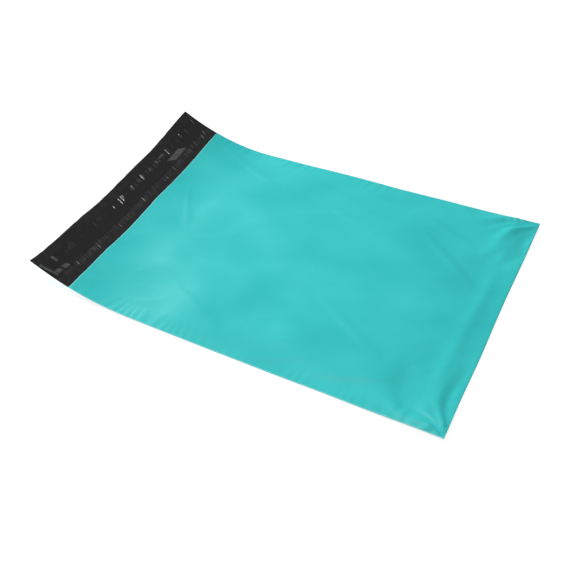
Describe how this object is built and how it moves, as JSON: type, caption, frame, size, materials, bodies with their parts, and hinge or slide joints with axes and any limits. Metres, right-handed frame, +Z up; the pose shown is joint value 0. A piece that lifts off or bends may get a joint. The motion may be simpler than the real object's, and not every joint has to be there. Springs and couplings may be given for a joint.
{
  "type": "poly mailer bag",
  "caption": "Flat self-seal plastic mailing bag, open at the mouth, with its flap curling up to show the dark inner film and the adhesive band under its clear liner.",
  "frame": {"origin": "middle of the pouch's length and width, on the surface that the bag lies on", "axes": "+X along the bag towards its bottom fold, +Y across the bag, +Z up from the surface, so the flap is at -X"},
  "size_m": [0.3888, 0.25, 0.0314],
  "materials": {
    "teal_film": "satin blown film, teal outside, with soft creases",
    "black_film": "semi-gloss black inner face of the film",
    "adhesive": "clear tacky hot-melt adhesive on the black film",
    "clear_liner": "glossy clear plastic release tape"
  },
  "bodies": {
    "root": {"pouch_film": "teal_film", "inner_ply": "black_film", "adhesive_strip": "adhesive", "release_liner": "clear_liner"}
  },
  "joints": []
}
